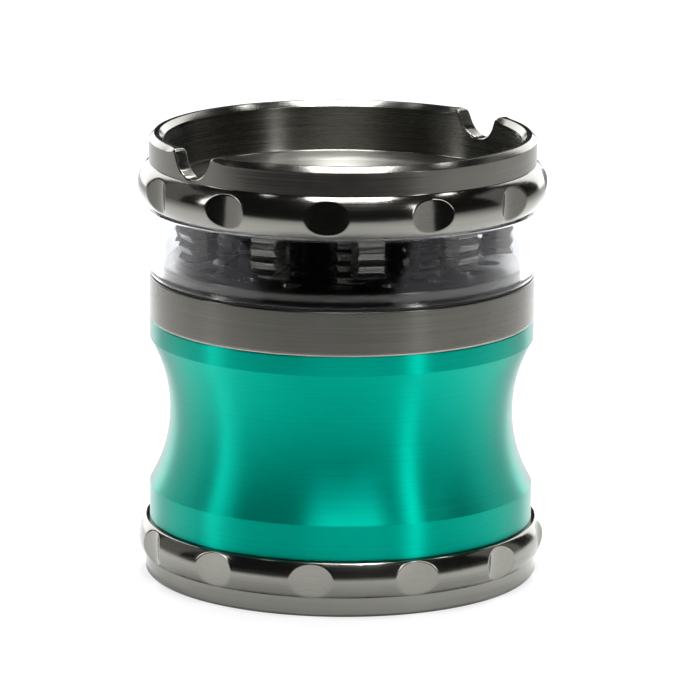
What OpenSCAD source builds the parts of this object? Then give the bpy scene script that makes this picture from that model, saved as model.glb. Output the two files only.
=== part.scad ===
// Four-piece herb grinder: ashtray lid, windowed grinding chamber, waisted drum and catch base.
// Millimetres, +Z up, origin at the centre of the underside. An azimuth of 0 faces -Y, + is towards +X.

/* [Body] */
// Radius of the tooth plate's band and of the window
band_r = 29.65; // [29.5:0.05:29.9]
// Radius of the drum's two plain bands
drum_r = 29.6; // [29.4:0.05:29.9]
// Radius of the foot below the lower grip bead
foot_r = 30.25; // [30:0.05:30.5]
// Chamfer on the edges of the turned bands
edge_c = 0.2; // [0.1:0.05:0.3]

/* [Grip beads] */
// Radius of the bead's round section
bead_arc_r = 3.9; // [3.8:0.05:4]
// Distance from the grinder's axis to the centre of the bead's section
bead_centre_r = 27.55; // [27.4:0.05:27.7]
// Number of thumb scallops round each bead
scallops = 12; // [6:1:16]
// Radius of the cutter that makes a scallop
scallop_cutter_r = 7.5; // [6:0.5:9]
// Depth of a scallop
scallop_depth = 1; // [0.6:0.1:1.2]
// Azimuth of one scallop of the lid
lid_scallop_az = -4.25; // [-15:0.25:15]
// Azimuth of one scallop of the base
base_scallop_az = -8; // [-15:0.25:15]

/* [Stack] */
// Height of the foot
foot_h = 3.05; // [2.8:0.05:3.2]
// Height of the base, foot included
base_h = 8.5; // [8.3:0.05:8.7]
// Height of the drum between the base and the tooth plate
drum_h = 31.5; // [29:0.5:34]
// Thickness of the washer between the drum and the tooth plate
plate_washer_t = 0.25; // [0.2:0.05:0.4]
// Height of the tooth plate's band
band_h = 6.55; // [6:0.05:7]
// Thickness of the gasket under the window
gasket_t = 0.3; // [0.2:0.05:0.4]
// Height of the window
window_h = 10.5; // [10.3:0.1:11.5]
// Height of the lid
lid_h = 11; // [10.6:0.05:11.4]

/* [Drum] */
// Radius of the drum at its narrowest
waist_r = 26.5; // [26.4:0.05:27.5]
// Height of the plain band at the bottom of the drum
low_band_h = 5.5; // [5:0.1:6]
// Height of the plain band at the top of the drum
top_band_h = 3; // [2.6:0.1:3.4]
// Radius of the drum's cavity
cavity_r = 24.4; // [24:0.1:24.6]

/* [Threads] */
// Root radius of the tooth plate's spigot
plate_spigot_r = 26.6; // [26.4:0.05:26.7]
// Root radius of the drum's upper bore
drum_bore_r = 27.25; // [27.2:0.05:27.4]
// Length of the tooth plate's spigot
plate_spigot_h = 4.8; // [4:0.1:4.9]
// Root radius of the drum's spigot
drum_spigot_r = 27; // [26.8:0.05:27.1]
// Root radius of the base's bore
base_bore_r = 27.65; // [27.6:0.05:27.8]
// Length of the drum's spigot
drum_spigot_h = 3.9; // [3:0.1:3.95]

/* [Ashtray] */
// Inside radius of the ashtray
tray_r = 27.4; // [27:0.1:27.6]
// Chamfer inside and outside the top of the rim
lip_c = 0.8; // [0.6:0.05:1.1]
// Thickness of the lid under the ashtray
tray_floor_t = 3.1; // [2:0.05:3.5]
// Radius of the round between the ashtray's wall and floor
tray_round = 0.4; // [0.2:0.1:3]
// Radius of a rest notch
notch_r = 4; // [3:0.5:5]
// Round on the upper corners of a notch
notch_round = 1.1; // [0.5:0.1:1.4]
// Azimuth of the first notch; the second is opposite
notch_az = -50; // [-90:1:90]

/* [Teeth] */
// Lid teeth in the outer ring
lid_outer_teeth = 10; // [8:1:12]
// Lid teeth in the inner ring
lid_inner_teeth = 8; // [4:1:8]
// Plate teeth in the outer ring
plate_outer_teeth = 10; // [6:1:10]
// Plate teeth in the inner ring
plate_inner_teeth = 6; // [3:1:6]
// Greatest width of a tooth along its ring
tooth_w = 5.4; // [4:0.1:5.6]
// Height of one serration on a tooth
serration_h = 1.6; // [1.2:0.1:2]
// Depth of a serration
serration_d = 0.45; // [0.3:0.05:0.5]
// Length of the lid's teeth
lid_tooth_l = 6.45; // [5.5:0.05:6.6]
// Length of the plate's teeth
plate_tooth_l = 7.4; // [6.5:0.1:7.6]
// Radius of a drop hole
drop_r = 1.7; // [1.4:0.1:1.8]

/* [Hidden] */

turned_fn = 180;
fine_fn = 96;
small_fn = 48;
cut = 1;                                  // how far a cutting tool runs past the face it opens
join = 0.01;                              // how far joined shapes run into each other
fit = 0.05;                               // radial clearance of a running or push fit

gunmetal = [0.36, 0.35, 0.33];
green = [0.01, 0.52, 0.43];
clear = [0.85, 0.88, 0.9, 0.35];
nickel = [0.78, 0.78, 0.76];
black = [0.05, 0.05, 0.05];
nylon = [0.85, 0.8, 0.76];
steel = [0.6, 0.6, 0.6];

// Levels of the stacked pieces
drum_z = base_h;
drum_top_z = drum_z + drum_h;
plate_z = drum_top_z + plate_washer_t;
band_top_z = plate_z + band_h;
window_z = band_top_z + gasket_t;
window_top_z = window_z + window_h;
lid_z = window_top_z + 0.05;              // the lid runs on the glide ring, just clear of the window
lid_top_z = lid_z + lid_h;

// Grip beads
base_bead_z = foot_h + 2.65;
lid_bead_z = lid_z + 3.4;
lid_bead_top_z = lid_z + 6.65;
scallop_axis_r = bead_centre_r + bead_arc_r - scallop_depth + scallop_cutter_r;

// Base
foot_c = 0.4;
base_floor_t = 1.8;
base_bowl_r = 26.4;
base_bowl_round = 3.2;
base_bore_z = 4.3;
base_washer_t = 0.5;
base_washer_r = 29;

// Drum
waist_z = drum_z + low_band_h;
waist_h = drum_h - low_band_h - top_band_h;
waist_depth = drum_r - waist_r;
waist_arc_r = (pow(waist_h / 2, 2) + pow(waist_depth, 2)) / (2 * waist_depth);
drum_bore_z = drum_top_z - 5;
screen_z = 9;                             // underside of the drum's ledge
ledge_t = 1;
ledge_r = 22.4;
screen_pocket_r = 24;
mesh_t = 0.3;
screen_gasket_t = 0.6;
screen_ring_t = 1.7;

// Grinding chamber
chamber_floor_z = band_top_z + 2.5;
chamber_floor_t = 3.2;
boss_r = 27.5;
boss_round = 0.3;
window_r = boss_r + fit;
window_c = 0.35;
gasket_set_in = 0.25;                     // how far the gasket stops short of the window's face
washer_set_in = 0.1;                      // how far the washer stops short of the drum's face
glide_t = 0.55;
glide_in_r = 27.65;
glide_out_r = 28.5;
plate_inside_r = 24.6;
lid_step_r = window_r - 0.3;
lid_step_h = 0.6;
lid_tooth_phase = 9.6;
plate_tooth_phase = 4;

// Tooth rings: inner and outer radius, so that the two sets pass each other through a full turn
lid_outer_ring = [21.5, 26.3];
lid_inner_ring = [12.7, 16.4];
plate_outer_ring = [17.4, 20.4];
plate_inner_ring = [8.8, 11.8];

// Hubs with their magnets
hub_r = 7;
magnet_r = 5;
magnet_t = 3;
lid_hub_z = lid_z - 4.05;
plate_hub_z = lid_hub_z - 0.35;

// Ashtray
rim_r = band_r + 0.1;
tray_floor_z = lid_z + tray_floor_t;

// Drop holes in the chamber floor: ring radius and number of holes
drop_rings = [[22.5, 18], [14.5, 12]];

// Places copies round the axis, the first at azimuth az
module around(count, az = 0) {
    for (k = [0 : count - 1]) rotate([0, 0, az + k * 360 / count - 90]) children();
}

// Section of a turned tube from inner radius r0 to outer radius r1, with its outer edges chamfered
module tube_section(r0, r1, z0, z1, c) {
    polygon([[r0, z0], [r1 - c, z0], [r1, z0 + c], [r1, z1 - c], [r1 - c, z1], [r0, z1]]);
}

// A plain flat ring
module flat_ring(r0, r1, z0, t) {
    translate([0, 0, z0]) difference() {
        cylinder(r = r1, h = t, $fn = turned_fn);
        translate([0, 0, -cut]) cylinder(r = r0, h = t + 2 * cut, $fn = turned_fn);
    }
}

// Section of the grip bead, cut off flat at its top and bottom
module bead_section(z_centre, z0, z1) {
    intersection() {
        translate([bead_centre_r, z_centre]) circle(r = bead_arc_r, $fn = turned_fn);
        translate([bead_centre_r - 1, z0]) square([bead_arc_r + 2, z1 - z0]);
    }
    translate([0, z0]) square([bead_centre_r, z1 - z0]);
}

// Upright cutters that leave the scallops in a bead
module scallop_cutters(z0, z1, az) {
    around(scallops, az) translate([scallop_axis_r, 0, z0 - cut])
        cylinder(r = scallop_cutter_r, h = z1 - z0 + 2 * cut, $fn = fine_fn);
}

// Section of one ring of teeth with V grooves turned into both its faces
module serrated_section(r0, r1, z0, z1) {
    steps = floor((z1 - z0) / serration_h);
    step = (z1 - z0) / steps;
    inner = [for (k = [0 : steps - 1])
        each [[r0, z0 + k * step], [r0 + serration_d, z0 + (k + 0.5) * step]]];
    outer = [for (k = [steps : -1 : 1])
        each [[r1, z0 + k * step], [r1 - serration_d, z0 + (k - 0.5) * step]]];
    polygon(concat(inner, [[r0, z1]], outer, [[r1, z0]]));
}

// A ring of teeth, left by milling gaps in a serrated ring; each is a diamond with cut-off tips
module teeth(ring, count, az, z0, z1) {
    half = tooth_w / 2;
    tip = half * 0.55;
    middle = (ring[0] + ring[1]) / 2;
    intersection() {
        rotate_extrude($fn = turned_fn) serrated_section(ring[0], ring[1], z0, z1);
        translate([0, 0, z0]) around(count, az) linear_extrude(height = z1 - z0) polygon([
            [ring[0] - cut, -tip * 0.6], [middle, -half], [ring[1] + cut, -tip],
            [ring[1] + cut, tip], [middle, half], [ring[0] - cut, tip * 0.6]
        ]);
    }
}

// Catch base: foot, grip bead, threaded bore and round-cornered bowl
module catch_base() {
    round_z = base_floor_t + base_bowl_round;
    round_r = base_bowl_r - base_bowl_round;
    color(gunmetal) difference() {
        rotate_extrude($fn = turned_fn) difference() {
            union() {
                polygon([[0, 0], [foot_r - foot_c, 0], [foot_r, foot_c], [foot_r, foot_h], [0, foot_h]]);
                bead_section(base_bead_z, foot_h - join, base_h);
            }
            translate([-join, base_floor_t]) square([round_r + join, base_h]);
            translate([-join, round_z]) square([base_bowl_r + join, base_h]);
            translate([round_r, round_z]) circle(r = base_bowl_round, $fn = small_fn);
            translate([-join, base_bore_z]) square([base_bore_r + join, base_h]);
            translate([-join, base_h - base_washer_t]) square([base_washer_r + fit + join, base_h]);
        }
        scallop_cutters(foot_h + cut, base_h, base_scallop_az);
    }
}

// Slippery washer in the base's rebate, under the drum
module base_washer() {
    color(nylon) flat_ring(base_bore_r + 0.2, base_washer_r, base_h - base_washer_t, base_washer_t);
}

// Waisted drum: spigot below, screen ledge, straight cavity and threaded bore above
module drum() {
    waist_centre = [waist_r + waist_arc_r, waist_z + waist_h / 2];
    spigot_z = drum_z - drum_spigot_h;
    color(green) rotate_extrude($fn = turned_fn) difference() {
        union() {
            tube_section(0, drum_r, drum_z, drum_top_z, edge_c);
            tube_section(0, drum_spigot_r, spigot_z, drum_z + cut, edge_c);
        }
        translate(waist_centre) circle(r = waist_arc_r, $fn = 2 * turned_fn);
        translate([-join, spigot_z - cut]) square([screen_pocket_r + join, screen_z - spigot_z + cut]);
        translate([-join, spigot_z]) square([ledge_r + join, drum_h]);
        polygon([[0, screen_z + ledge_t], [ledge_r, screen_z + ledge_t],
            [cavity_r, screen_z + ledge_t + 2], [cavity_r, drum_top_z + cut], [0, drum_top_z + cut]]);
        translate([-join, drum_bore_z]) square([drum_bore_r + join, drum_h]);
    }
}

// Fine steel mesh, held up against the drum's ledge
module screen_mesh() {
    color(steel) translate([0, 0, screen_z - mesh_t])
        cylinder(r = screen_pocket_r - 0.2, h = mesh_t, $fn = turned_fn);
}

// Soft ring under the mesh
module screen_gasket() {
    color(black) flat_ring(ledge_r + 0.1, screen_pocket_r - 0.15, screen_z - mesh_t - screen_gasket_t,
        screen_gasket_t);
}

// Metal ring pushed into the drum to hold the gasket and mesh
module screen_ring() {
    ring_z = screen_z - mesh_t - screen_gasket_t - screen_ring_t;
    color(nickel) rotate_extrude($fn = turned_fn)
        tube_section(ledge_r, screen_pocket_r - fit, ring_z, ring_z + screen_ring_t, edge_c);
}

// Thin washer between the drum and the tooth plate
module plate_washer() {
    color(nylon) flat_ring(drum_bore_r + fit, drum_r - washer_set_in, drum_top_z, plate_washer_t);
}

// Tooth plate: band, boss for the window, chamber floor with drop holes and teeth, hub, spigot
module tooth_plate() {
    color(gunmetal) difference() {
        union() {
            rotate_extrude($fn = turned_fn) difference() {
                union() {
                    tube_section(0, band_r, plate_z, band_top_z, edge_c);
                    tube_section(0, plate_spigot_r, plate_z - plate_spigot_h, plate_z + cut, edge_c);
                    tube_section(0, boss_r, band_top_z - cut, chamber_floor_z, boss_round);
                }
                translate([-join, plate_z - plate_spigot_h - cut])
                    square([plate_inside_r + join, chamber_floor_z - chamber_floor_t - plate_z
                        + plate_spigot_h + cut]);
            }
            translate([0, 0, chamber_floor_z - cut])
                cylinder(r = hub_r, h = plate_hub_z - chamber_floor_z + cut, $fn = turned_fn);
            teeth(plate_outer_ring, plate_outer_teeth, plate_tooth_phase,
                chamber_floor_z - join, chamber_floor_z + plate_tooth_l);
            teeth(plate_inner_ring, plate_inner_teeth, plate_tooth_phase,
                chamber_floor_z - join, chamber_floor_z + plate_tooth_l);
        }
        for (ring = drop_rings) around(ring[1])
            translate([ring[0], 0, chamber_floor_z - chamber_floor_t - cut])
                cylinder(r = drop_r, h = chamber_floor_t + 2 * cut, $fn = small_fn);
        translate([0, 0, plate_hub_z - magnet_t])
            cylinder(r = magnet_r + fit, h = magnet_t + cut, $fn = turned_fn);
    }
}

// Disc magnet in the tooth plate's hub
module plate_magnet() {
    color(nickel) translate([0, 0, plate_hub_z - magnet_t])
        cylinder(r = magnet_r, h = magnet_t, $fn = turned_fn);
}

// Black gasket between the tooth plate and the window
module window_gasket() {
    color(black) flat_ring(boss_r + fit, band_r - gasket_set_in, band_top_z, gasket_t);
}

// Clear sleeve round the grinding chamber, rebated inside its top edge for the glide ring
module window_ring() {
    color(clear) rotate_extrude($fn = turned_fn) difference() {
        tube_section(window_r, band_r, window_z, window_top_z, window_c);
        translate([0, lid_z - glide_t]) square([glide_out_r + fit, glide_t + cut]);
    }
}

// Slippery ring that the lid turns on
module glide_ring() {
    color(nylon) flat_ring(glide_in_r, glide_out_r, lid_z - glide_t, glide_t);
}

// Section of the ashtray's bowl, cut from the top of the lid
module tray_section() {
    round_z = tray_floor_z + tray_round;
    round_r = tray_r - tray_round;
    translate([-join, tray_floor_z]) square([round_r + join, lid_h]);
    translate([-join, round_z]) square([tray_r + join, lid_h]);
    translate([round_r, round_z]) circle(r = tray_round, $fn = fine_fn);
}

// Section of the rim above the bead, chamfered inside and out at its top
module rim_section() {
    chamfer_z = lid_top_z - lip_c;
    root_z = lid_bead_top_z - cut;
    polygon([[tray_r - 1, root_z], [rim_r, root_z], [rim_r, chamfer_z], [rim_r - lip_c, lid_top_z],
        [tray_r + lip_c, lid_top_z], [tray_r, chamfer_z], [tray_r - 1, chamfer_z]]);
}

// Outline of a rest notch: a half round with rounded upper corners
module notch_outline() {
    half = notch_r + notch_round;
    circle(r = notch_r, $fn = fine_fn);
    difference() {
        translate([-half, -notch_round]) square([2 * half, notch_round + cut]);
        for (side = [-1, 1])
            translate([side * half, -notch_round]) circle(r = notch_round, $fn = small_fn);
    }
}

// Ashtray lid: rim with two notches, grip bead, locating step, teeth and hub
module ashtray_lid() {
    color(gunmetal) difference() {
        union() {
            rotate_extrude($fn = turned_fn) difference() {
                union() {
                    bead_section(lid_bead_z, lid_z, lid_bead_top_z);
                    rim_section();
                    translate([0, lid_z - lid_step_h]) square([lid_step_r, lid_step_h + join]);
                }
                tray_section();
            }
            translate([0, 0, lid_hub_z]) cylinder(r = hub_r, h = lid_z - lid_hub_z, $fn = turned_fn);
            teeth(lid_outer_ring, lid_outer_teeth, lid_tooth_phase, lid_z - lid_tooth_l, lid_z);
            teeth(lid_inner_ring, lid_inner_teeth, lid_tooth_phase, lid_z - lid_tooth_l, lid_z);
        }
        scallop_cutters(lid_z, lid_bead_top_z - cut, lid_scallop_az);
        around(2, notch_az) translate([tray_r - notch_r, 0, lid_top_z + fit]) rotate([90, 0, 90])
            linear_extrude(height = 2 * notch_r) notch_outline();
        translate([0, 0, lid_hub_z - cut])
            cylinder(r = magnet_r + fit, h = magnet_t + cut, $fn = turned_fn);
    }
}

// Disc magnet in the lid's hub
module lid_magnet() {
    color(nickel) translate([0, 0, lid_hub_z]) cylinder(r = magnet_r, h = magnet_t, $fn = turned_fn);
}

catch_base();
base_washer();
drum();
screen_mesh();
screen_gasket();
screen_ring();
plate_washer();
tooth_plate();
plate_magnet();
window_gasket();
window_ring();
glide_ring();
ashtray_lid();
lid_magnet();
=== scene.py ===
"""Four-piece herb grinder: fine meshes, threads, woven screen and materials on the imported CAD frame.

Lengths are millimetres up to make_piece(), which makes metres of them. Azimuths are degrees: 0 faces -Y and
+ is towards +X.
"""
import math

import bmesh
import bpy
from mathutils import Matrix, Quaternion, Vector


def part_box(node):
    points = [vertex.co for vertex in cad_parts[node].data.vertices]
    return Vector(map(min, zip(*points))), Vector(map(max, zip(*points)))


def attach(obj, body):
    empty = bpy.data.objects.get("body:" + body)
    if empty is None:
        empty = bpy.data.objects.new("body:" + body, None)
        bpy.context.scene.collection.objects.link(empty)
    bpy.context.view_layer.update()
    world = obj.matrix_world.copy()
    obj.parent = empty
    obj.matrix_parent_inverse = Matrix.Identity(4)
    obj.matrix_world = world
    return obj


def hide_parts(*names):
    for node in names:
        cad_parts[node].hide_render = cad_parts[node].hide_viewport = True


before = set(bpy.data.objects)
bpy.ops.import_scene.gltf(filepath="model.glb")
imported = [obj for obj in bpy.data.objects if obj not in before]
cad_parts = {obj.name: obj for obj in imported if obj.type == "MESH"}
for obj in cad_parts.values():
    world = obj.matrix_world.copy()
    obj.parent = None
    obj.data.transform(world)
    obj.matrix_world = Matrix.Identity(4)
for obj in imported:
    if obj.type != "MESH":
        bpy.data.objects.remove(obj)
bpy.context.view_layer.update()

MM = 0.001


# ---------------------------------------------------------------- what the frame says

def level(node):
    """Lowest and highest point of a CAD node."""
    low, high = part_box(node)
    return low.z / MM, high.z / MM


def reach(node):
    """Largest distance of a CAD node from the grinder's axis."""
    return max(math.hypot(v.co.x, v.co.y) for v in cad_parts[node].data.vertices) / MM


BASE_TOP = level("catch_base")[1]
DRUM_LOW, DRUM_TOP = level("drum")
BAND_TOP = level("window_gasket")[0]
WINDOW_LOW, WINDOW_TOP = level("window_ring")
SPIGOT_LOW = level("tooth_plate")[0]
LID_Z = level("glide_ring")[1]
LID_TOP = level("ashtray_lid")[1]
SCREEN_LOW, SCREEN_TOP = level("screen_mesh")
BAND_R = reach("window_ring")
DRUM_R = reach("drum")

# Sizes inside the nodes' boxes, as the CAD model has them
BEAD_ARC = 3.9              # radius of the grip bead's round section
BEAD_CENTRE = 27.55         # distance of its centre from the grinder's axis
SCALLOPS = 12
CUTTER_R = 7.5
SCALLOP_DEPTH = 1.0
CUTTER_AXIS = BEAD_CENTRE + BEAD_ARC - SCALLOP_DEPTH + CUTTER_R
LID_SCALLOP_AZ = -4.25
BASE_SCALLOP_AZ = -8.0
LID_BEAD_Z = LID_Z + 3.4
FOOT_R, FOOT_H, FOOT_C = 30.25, 3.05, 0.4
BASE_BEAD_Z = FOOT_H + 2.65
BOWL_R, BOWL_ROUND, BOWL_FLOOR = 26.4, 3.2, 1.8
BORE_R, BORE_FLOOR = 27.65, 4.3
REBATE_R, REBATE_DEPTH = 29.05, 0.5

DRUM_BOTTOM = BASE_TOP
WAIST_LOW, WAIST_TOP = DRUM_BOTTOM + 5.5, DRUM_TOP - 3.0
WAIST_R = 26.5
DRUM_SPIGOT_R, DRUM_BORE_R, DRUM_BORE_Z = 27.0, 27.25, DRUM_TOP - 5.0
CAVITY_R, LEDGE_R, LEDGE_T, LEDGE_SLOPE, POCKET_R = 24.4, 22.4, 1.0, 2.0, 24.0

PLATE_Z = level("plate_washer")[1]
SPIGOT_R, PLATE_INSIDE_R = 26.6, 24.6
BOSS_R = 27.5
FLOOR_Z = BAND_TOP + 2.5
FLOOR_T = 3.2
HUB_R, POCKET_HUB_R, MAGNET_T = 7.0, 5.05, 3.0
LID_HUB_Z = LID_Z - 4.05
PLATE_HUB_Z = LID_HUB_Z - 0.35
DROP_R = 1.7                # radius of the drop holes
HOLE_BANDS = [(12.2, 16.8, 14.5, 12), (20.4, 24.5, 22.5, 18)]   # edges, hole centres, number of holes

RIM_R, TRAY_R, LIP_C = BAND_R + 0.1, 27.4, 0.8                  # LIP_C is the chamfer of the rim's lip
TRAY_FLOOR, TRAY_ROUND = LID_Z + 3.1, 0.4
NOTCH_R, NOTCH_ROUND, NOTCH_AZ = 4.0, 1.1, -50.0
STEP_R, STEP_H = 27.25, 0.6

LID_RINGS = [(21.5, 26.3, 10), (12.7, 16.4, 8)]                 # inner and outer radius, number of teeth
PLATE_RINGS = [(17.4, 20.4, 10), (8.8, 11.8, 6)]
LID_PHASE, PLATE_PHASE = 9.6, 4.0
TOOTH_W, LID_TOOTH_L, PLATE_TOOTH_L = 5.4, 6.45, 7.4
SERRATION_H, SERRATION_D = 1.6, 0.45

PITCH = 2.0                 # both threads; the drum and the plate rise this much in a turn

COLUMNS = 288               # points in a turned row; a whole number in every scallop and drop hole sector


# ---------------------------------------------------------------- mesh helpers

def polar(azimuth, radius, z):
    a = math.radians(azimuth)
    return (radius * math.sin(a), -radius * math.cos(a), z)


def smoothstep(t):
    t = min(max(t, 0.0), 1.0)
    return t * t * (3 - 2 * t)


def between(a, b, t):
    return a + (b - a) * t


class Shell:
    """Points and the faces between them. Equal points are welded when it becomes a piece.

    Each point has a finish: 0 as the material says, up to 1 for a mirror, down to -1 for a coarse cut.
    """

    def __init__(self):
        self.points = []            # of (x, y, z)
        self.finish = []
        self.faces = []

    def row(self, points, finish=0.0):
        start = len(self.points)
        self.points.extend(points)
        self.finish.extend([finish] * len(points))
        return list(range(start, len(self.points)))

    def ring(self, radius, z, columns=COLUMNS, start=0.0, finish=0.0):
        if radius < 1e-6:
            return self.row([(0, 0, z)], finish)
        return self.row([polar(start + 360 * k / columns, radius, z) for k in range(columns)], finish)

    def strip(self, a, b):
        """Joins two closed rows: one to one, one to two, or every point to a single one."""
        if len(a) > len(b):
            a, b = b, a
        n, m = len(a), len(b)
        if n == 1:
            self.faces += [(a[0], b[i], b[(i + 1) % m]) for i in range(m)]
        elif n == m:
            self.faces += [(a[i], a[(i + 1) % n], b[(i + 1) % n], b[i]) for i in range(n)]
        else:
            self.faces += [(a[i], a[(i + 1) % n], b[(2 * i + 2) % m], b[2 * i + 1], b[2 * i])
                           for i in range(n)]

    def strips(self, rows, closed=False):
        for a, b in zip(rows, rows[1:] + (rows[:1] if closed else [])):
            self.strip(a, b)

    def grid(self, rows):
        """Joins open rows of equal length."""
        for a, b in zip(rows, rows[1:]):
            self.faces += [(a[i], a[i + 1], b[i + 1], b[i]) for i in range(len(a) - 1)]


ARC_STEPS = 4
HOLD = 0.12                 # extra rows this close to a rounded edge keep the faces beside it flat
WELD = 0.002                # points this close become one
SHARP = 20.0                # degrees; a chamfered piece has its chamfers on edges sharper than this


def rounded(corners, closed=True, steps=ARC_STEPS):
    """Points along an outline of (r, z, rounding radius) corners."""
    points = []
    count = len(corners)
    for i, (r, z, radius) in enumerate(corners):
        if radius == 0 or (not closed and i in (0, count - 1)):
            points.append((r, z))
            continue
        here = Vector((r, z))
        back = (Vector(corners[i - 1][:2]) - here).normalized()
        on = (Vector(corners[(i + 1) % count][:2]) - here).normalized()
        half = math.acos(max(-1.0, min(1.0, back.dot(on)))) / 2
        centre = here + (back + on).normalized() * (radius / math.sin(half))
        first = here + back * (radius / math.tan(half)) - centre
        last = here + on * (radius / math.tan(half)) - centre
        a0, a1 = math.atan2(first.y, first.x), math.atan2(last.y, last.x)
        turn = (a1 - a0 + math.pi) % math.tau - math.pi
        for k in range(steps + 1):
            a = a0 + turn * k / steps
            points.append((centre.x + radius * math.cos(a), centre.y + radius * math.sin(a)))
    return points


def held(points, closed=True):
    """Adds a point near both ends of every long straight stretch of an outline."""
    result = []
    pairs = zip(points, points[1:] + (points[:1] if closed else []))
    for (r0, z0), (r1, z1) in pairs:
        result.append((r0, z0))
        length = math.hypot(r1 - r0, z1 - z0)
        if length > 4 * HOLD:
            t = HOLD / length
            result += [(between(r0, r1, t), between(z0, z1, t)),
                       (between(r1, r0, t), between(z1, z0, t))]
    return result if closed else result + [points[-1]]


def lathe(corners, closed=True, columns=COLUMNS):
    """A turned solid. An open outline starts and ends on the axis."""
    shell = Shell()
    outline = held(rounded(corners, closed), closed)
    shell.strips([shell.ring(r, z, columns) for r, z in outline], closed)
    return shell


def make_piece(name, shell, body, slot, node=None, chamfer=0.0, look=None):
    """Makes a visible piece of a shell. A piece with chamfered edges is flat-shaded, any other is smooth."""
    bm = bmesh.new()
    layer = bm.verts.layers.float.new("finish")
    verts = [bm.verts.new(Vector(p) * MM) for p in shell.points]
    for vert, finish in zip(verts, shell.finish):
        vert[layer] = finish
    for face in shell.faces:
        bm.faces.new([verts[i] for i in face])
    bmesh.ops.remove_doubles(bm, verts=bm.verts, dist=WELD * MM)
    if chamfer:
        sharp = [e for e in bm.edges
                 if len(e.link_faces) == 2 and e.calc_face_angle() > math.radians(SHARP)]
        bmesh.ops.bevel(bm, geom=sharp, offset=chamfer * MM, segments=1, affect="EDGES",
                        clamp_overlap=True)
    bmesh.ops.recalc_face_normals(bm, faces=bm.faces)
    for face in bm.faces:
        face.smooth = not chamfer
    mesh = bpy.data.meshes.new(name)
    bm.to_mesh(mesh)
    bm.free()
    piece = bpy.data.objects.new(name, mesh)
    bpy.context.scene.collection.objects.link(piece)
    mesh.materials.append(MATERIALS[look or slot])
    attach(piece, body)
    if node:
        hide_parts(node)


# ---------------------------------------------------------------- grip beads

SIDE = COLUMNS // SCALLOPS          # points along each edge of a scallop's sector
SECTOR = 360 / SCALLOPS
OVAL_SPAN = 60.0                    # degrees of the bead's section that one unit of oval height stands for
OVAL_TRIES = 30                     # halvings in the search for a scallop's edge
CREASE = (-0.3, -0.12, 0.0, 0.12, 0.3)      # rows either side of a scallop's edge
CREASE_INSIDE = 2                   # of them, those within the scallop
CREASE_SOFTNESS = 0.1
CREASE_ROOM = 0.5                   # most of the way to the sector's edge that a crease may take
OUTER_SHARES = (0.15, 0.35, 0.6, 0.8, 1.0)  # places of the rows from the crease to the sector's edge
MIRROR = 1.0                        # finish of the scallops


def square_rim(side):
    """Points round the edge of the square from (-1, -1) to (1, 1), anticlockwise."""
    steps = [-1 + 2 * k / side for k in range(side)]
    return ([(t, -1) for t in steps] + [(1, t) for t in steps]
            + [(-t, 1) for t in steps] + [(-1, -t) for t in steps])


def to_disc(u, v):
    """Maps the square from (-1, -1) to (1, 1) onto the unit disc."""
    return u * math.sqrt(1 - v * v / 2), v * math.sqrt(1 - u * u / 2)


def cutter_reach(a):
    """Distance from the axis of the scallop cutter's surface, a degrees off the scallop's middle."""
    side = CUTTER_AXIS * math.sin(math.radians(a))
    if abs(side) >= CUTTER_R:
        return 1e3
    return CUTTER_AXIS * math.cos(math.radians(a)) - math.sqrt(CUTTER_R ** 2 - side ** 2)


def soft_min(a, b, softness):
    h = max(softness - abs(a - b), 0) / softness
    return min(a, b) - h * h * softness / 4


def bead_reach(phi):
    return BEAD_CENTRE + BEAD_ARC * math.cos(math.radians(phi))


def oval_edge(x, y):
    """How far along (x, y), in half sectors and oval spans, the edge of a scallop is."""
    low, high = 0.0, 1.0
    for _ in range(OVAL_TRIES):
        t = (low + high) / 2
        if bead_reach(OVAL_SPAN * y * t) > cutter_reach(SECTOR / 2 * x * t):
            low = t
        else:
            high = t
    return low


def bead_point(centre_z, azimuth, a, phi):
    """The bead's surface at angle phi of its section, a degrees off the middle of the scallop at azimuth."""
    radius = soft_min(bead_reach(phi), cutter_reach(a), CREASE_SOFTNESS)
    return polar(azimuth + a, radius, centre_z + BEAD_ARC * math.sin(math.radians(phi)))


def bead_ring(shell, centre_z, phi, first_az):
    """The row in which scalloped_bead() ends at angle phi."""
    return shell.row([bead_point(centre_z, first_az + k * SECTOR, SECTOR * (i / SIDE - 0.5), phi)
                      for k in range(SCALLOPS) for i in range(SIDE)])


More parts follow.
